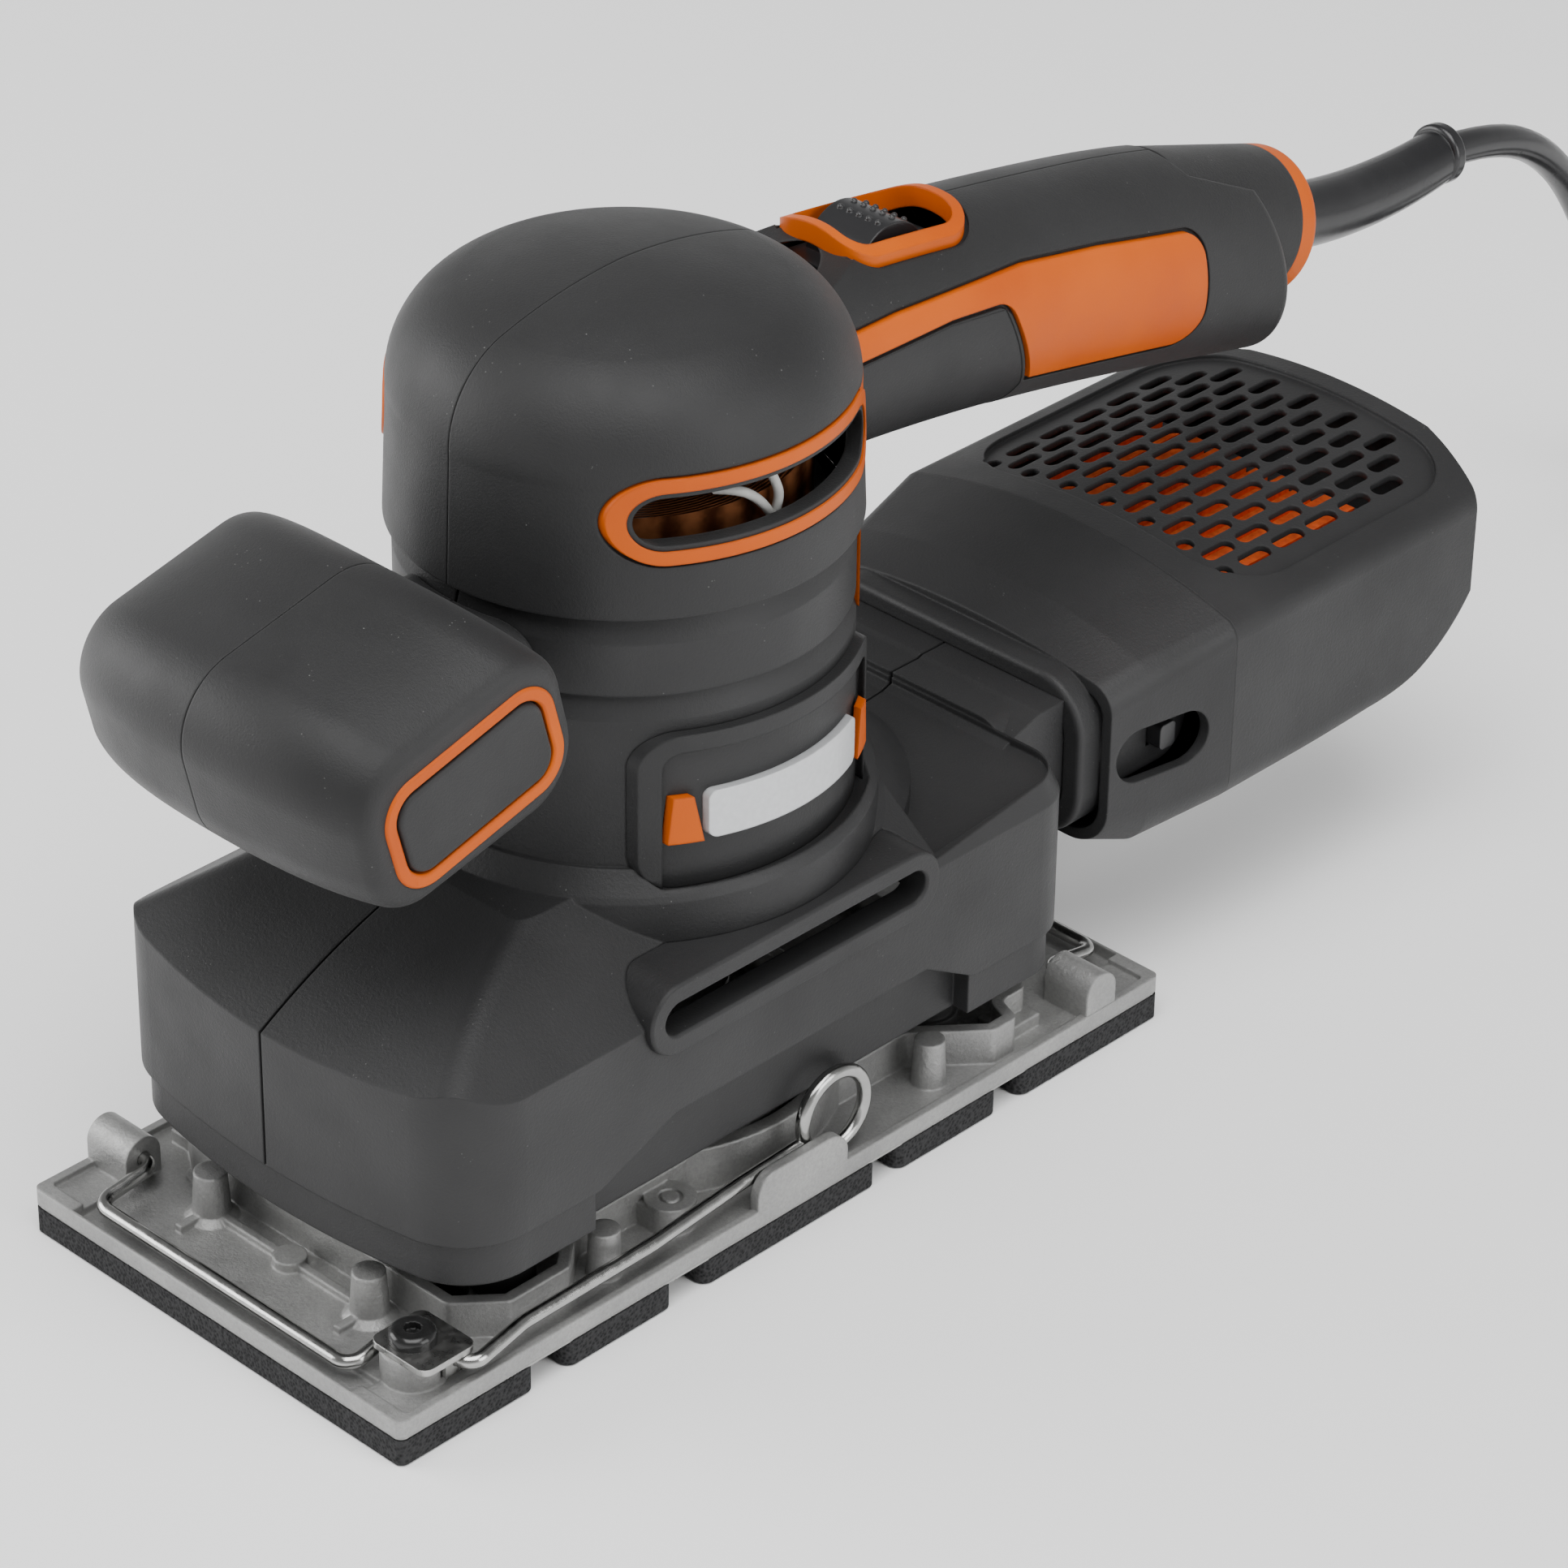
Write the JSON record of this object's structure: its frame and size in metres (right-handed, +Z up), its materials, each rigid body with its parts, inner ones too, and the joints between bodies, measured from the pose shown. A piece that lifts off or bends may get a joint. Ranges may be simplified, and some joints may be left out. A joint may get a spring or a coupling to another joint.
{
  "type": "orbital finishing sander",
  "caption": "Corded third-sheet orbital finishing sander with front knob, rear handle with slide switch, wire paper clamps and clip-on dust box.",
  "frame": {"origin": "centre of the pad face that carries the abrasive sheet", "axes": "+Z up through the motor axis, +Y back along the handle towards the cord, +X to the side on the right of a user who faces +Y"},
  "size_m": [0.1353, 0.5406, 0.169],
  "materials": {
    "soft_grip": "matt soft-touch moulding with a fine grain",
    "housing": "fine spark-eroded texture, black",
    "trim": "satin orange moulding",
    "bar": "satin silver paint",
    "glass_black": "dark smooth plastic",
    "casting": "die-cast, grainy satin",
    "sheet_steel": "bright zinc-plated sheet",
    "foam": "charcoal closed-cell foam",
    "spring_wire": "bright drawn spring wire",
    "screw_black": "black oxide, glossy",
    "leg_rubber": "plain black rubber",
    "motor_steel": "laminated and turned steel",
    "copper": "enamelled copper",
    "inner_plastic": "dark grey inner moulding",
    "carbon": "pressed carbon",
    "filter": "pleated red-orange filter paper",
    "cord": "smooth black flexible sheath"
  },
  "bodies": {
    "machine": {"air_slot_trim_left": "trim", "air_slot_trim_right": "trim", "badge_bars": "bar", "badge_frame_left": "housing", "badge_frame_right": "housing", "badge_wedges": "trim", "bearing_plate": "inner_plastic", "brush_holders": "inner_plastic", "carbon_brushes": "carbon", "cord_coil": "cord", "cord_lead": "cord", "cord_tail": "cord", "dome_cover_left": "soft_grip", "dome_cover_right": "soft_grip", "dust_skirt": "housing", "end_cap": "soft_grip", "end_ring": "trim", "field_windings": "copper", "front_knob_left": "soft_grip", "front_knob_right": "soft_grip", "grip_inserts": "housing", "handle_shell_left": "soft_grip", "handle_shell_right": "soft_grip", "housing_left": "housing", "housing_right": "housing", "housing_screws": "screw_black", "knob_pads": "soft_grip", "knob_rings": "trim", "lower_bearing": "motor_steel", "mains_plug": "cord", "rubber_legs": "leg_rubber", "side_panel_left": "trim", "side_panel_right": "trim", "side_slot_frames": "housing", "stator_core": "motor_steel", "strain_relief": "cord", "switch_body": "inner_plastic", "switch_frame": "trim", "upper_bearing": "motor_steel", "upper_bearing_seat": "inner_plastic"},
    "rotor": {"armature": "motor_steel", "commutator": "copper", "cooling_fan": "inner_plastic", "eccentric_hub": "motor_steel"},
    "platen": {"platen": "casting", "platen_bearing": "motor_steel", "backing_plate": "sheet_steel", "foam_pad": "foam", "clamp_brackets": "sheet_steel", "clamp_screws": "screw_black"},
    "front_clamp": {"front_clamp_wire": "spring_wire"},
    "rear_clamp": {"rear_clamp_wire": "spring_wire"},
    "switch": {"switch_slider": "glass_black"},
    "dust_box": {"dust_box_front": "housing"},
    "container": {"dust_container": "housing", "filter_frame": "inner_plastic", "dust_filter": "filter"},
    "latch_right": {"latch_button_right": "glass_black"},
    "latch_left": {"latch_button_left": "glass_black"}
  },
  "joints": [
    {"name": "motor_spin", "type": "hinge", "parent": "machine", "child": "rotor", "pos_m": [0, 0.0033, 0.05], "axis": [0, 0, 1], "continuous": true, "deforming": ["rubber_legs"]},
    {"name": "platen_orbit", "type": "hinge", "parent": "rotor", "child": "platen", "pos_m": [0, 0.0043, 0.02], "axis": [0, 0, 1], "continuous": true, "deforming": ["rubber_legs"]},
    {"name": "front_clamp_lever", "type": "hinge", "parent": "platen", "child": "front_clamp", "pos_m": [0, -0.0775, 0.012], "axis": [1, 0, 0], "range_deg": [0, 6]},
    {"name": "rear_clamp_lever", "type": "hinge", "parent": "platen", "child": "rear_clamp", "pos_m": [0, 0.0775, 0.012], "axis": [-1, 0, 0], "range_deg": [0, 6]},
    {"name": "switch_slide", "type": "slide", "parent": "machine", "child": "switch", "axis": [0, 1, 0], "range_m": [0, 0.006]},
    {"name": "dust_box_slide", "type": "slide", "parent": "machine", "child": "dust_box", "axis": [0, 1, 0], "range_m": [0, 0.03]},
    {"name": "container_slide", "type": "slide", "parent": "dust_box", "child": "container", "axis": [0, 1, 0], "range_m": [0, 0.04]},
    {"name": "latch_right_press", "type": "slide", "parent": "dust_box", "child": "latch_right", "axis": [-1, 0, 0], "range_m": [0, 0.0015], "stiffness_N_per_m": 900, "springref_m": -0.001},
    {"name": "latch_left_press", "type": "slide", "parent": "dust_box", "child": "latch_left", "axis": [1, 0, 0], "range_m": [0, 0.0015], "stiffness_N_per_m": 900, "springref_m": -0.001}
  ],
  "couplings": [
    {"joint": "platen_orbit", "follows": "motor_spin", "ratio": -1}
  ]
}
